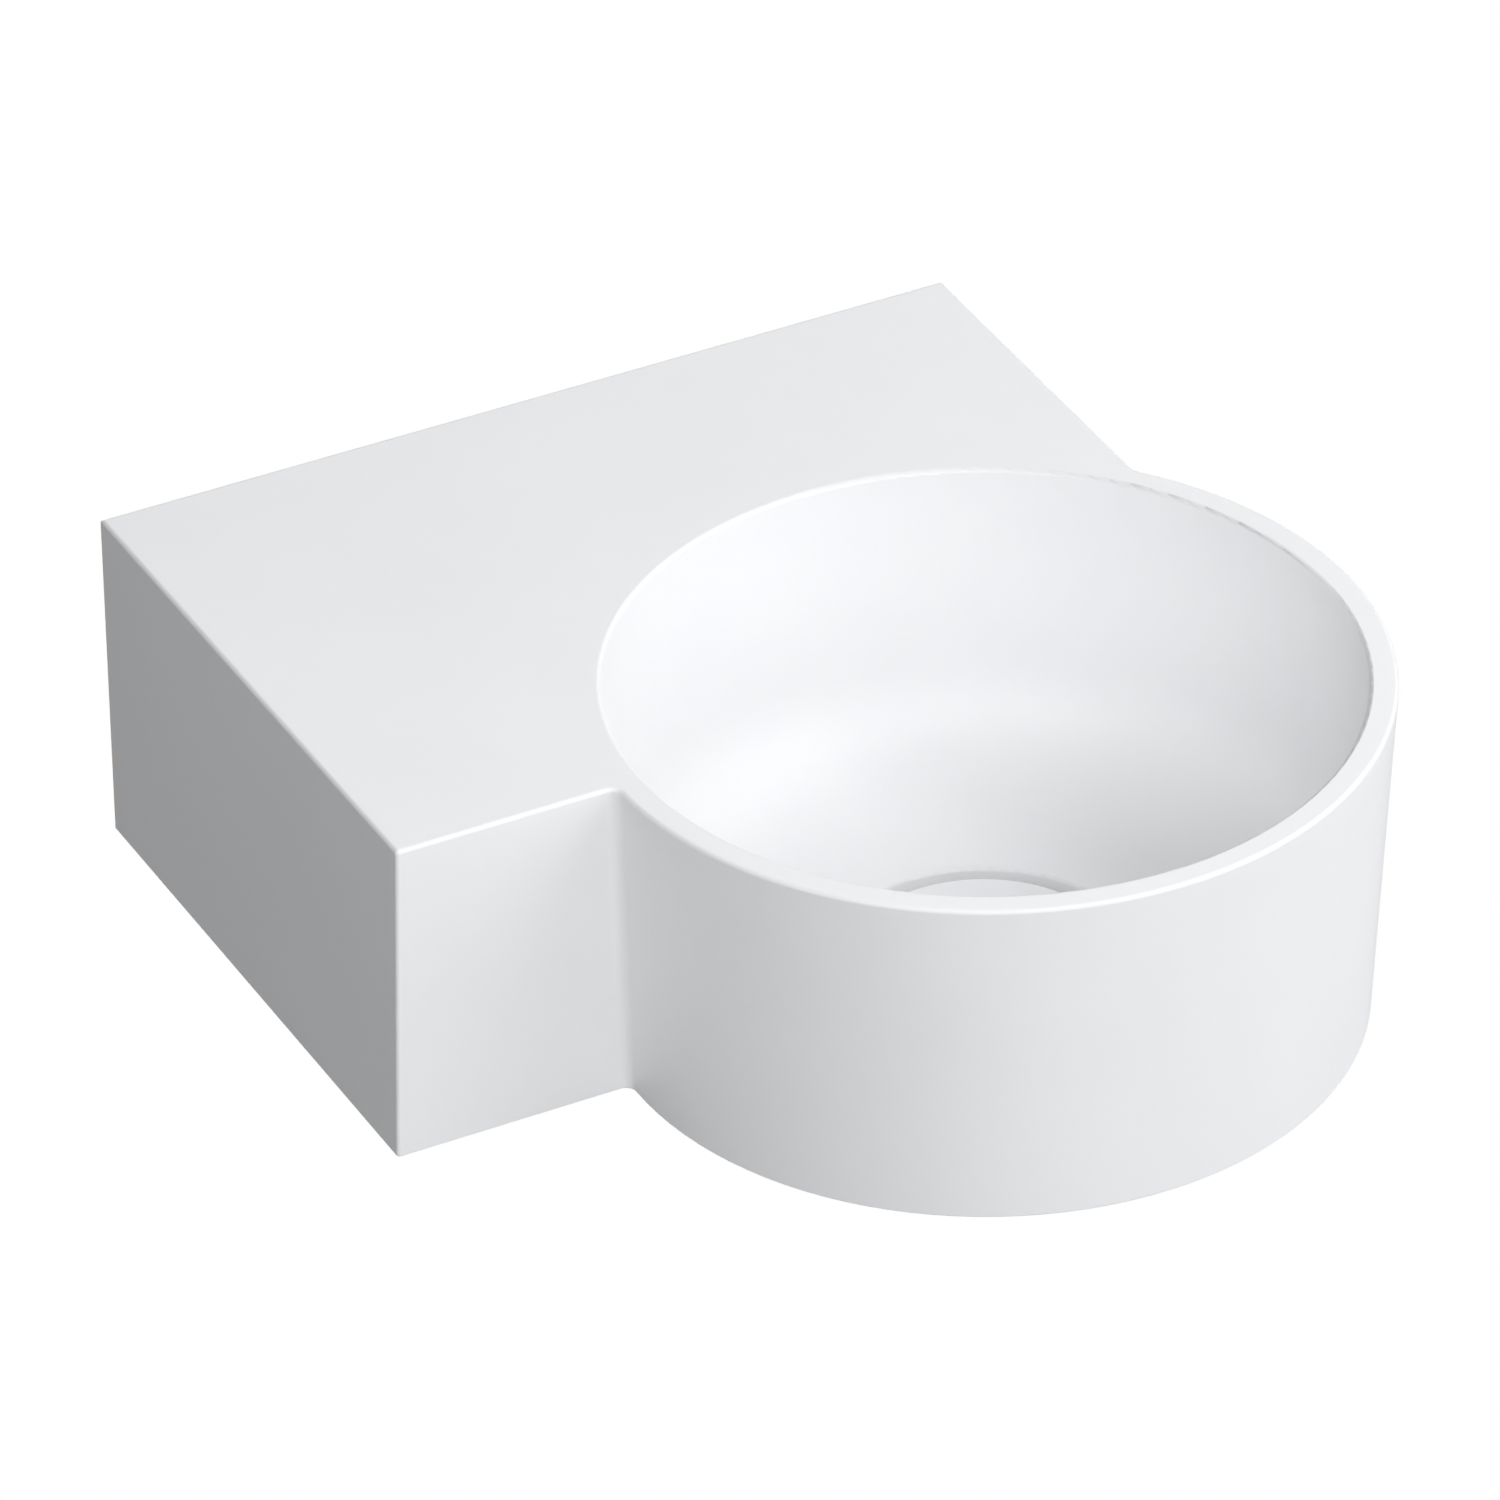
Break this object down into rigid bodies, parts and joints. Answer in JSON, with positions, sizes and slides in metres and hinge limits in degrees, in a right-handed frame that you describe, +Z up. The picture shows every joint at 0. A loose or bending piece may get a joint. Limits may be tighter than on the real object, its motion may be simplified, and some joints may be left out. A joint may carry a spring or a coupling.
{
  "type": "wall-hung washbasin",
  "caption": "Small wall-hung ceramic washbasin: box shelf against the wall, round drum bowl at its front right corner, push-push waste with ceramic cover.",
  "frame": {"origin": "half way between the two wall plugs, in the plane of the finished wall, which the basin's back face touches", "axes": "+Y into the wall, +X to the right along the wall as seen from the room, +Z up"},
  "size_m": [0.4198, 0.4919, 0.212],
  "materials": {
    "glazed_china": "satin white glaze on vitreous china",
    "cover_china": "satin white glaze on vitreous china",
    "turned_brass": "machined",
    "black_rubber": "moulded, matte",
    "stainless_steel": "ground",
    "spring_steel": "drawn wire",
    "white_acetal": "moulded",
    "chromed_brass": "polished chrome plate",
    "natural_nylon": "moulded",
    "grey_nylon": "moulded",
    "zinc_steel": "bright zinc plate",
    "white_plastic": "moulded"
  },
  "bodies": {
    "basin": {"basin": "glazed_china", "plunger_spring": "spring_steel", "cartridge_housing": "white_acetal", "cartridge_cap": "turned_brass", "plunger_oring": "black_rubber", "cartridge_locknut": "turned_brass", "waste_body": "chromed_brass", "flange_seal": "black_rubber", "underside_gasket": "black_rubber", "slip_washer": "natural_nylon", "backnut": "turned_brass", "wall_plugs": "grey_nylon", "wall_studs": "zinc_steel", "stud_sleeves": "natural_nylon", "stud_washers": "zinc_steel", "stud_nuts": "zinc_steel", "nut_caps": "white_plastic"},
    "plug": {"waste_cover": "cover_china", "cover_carrier": "turned_brass", "plug_seal": "black_rubber", "plunger": "stainless_steel"},
    "latch": {"latch_rotor": "white_acetal"}
  },
  "joints": [
    {"name": "cover_slide", "type": "slide", "parent": "basin", "child": "plug", "axis": [0, 0, 1], "range_m": [0, 0.009], "deforming": ["plunger_spring"]},
    {"name": "rotor_turn", "type": "hinge", "parent": "plug", "child": "latch", "pos_m": [0.0665, -0.2675, -0.1175], "axis": [0, 0, 1], "range_deg": [0, 45]}
  ],
  "couplings": [
    {"joint": "rotor_turn", "follows": "cover_slide", "rad_per_m": 87.266}
  ]
}
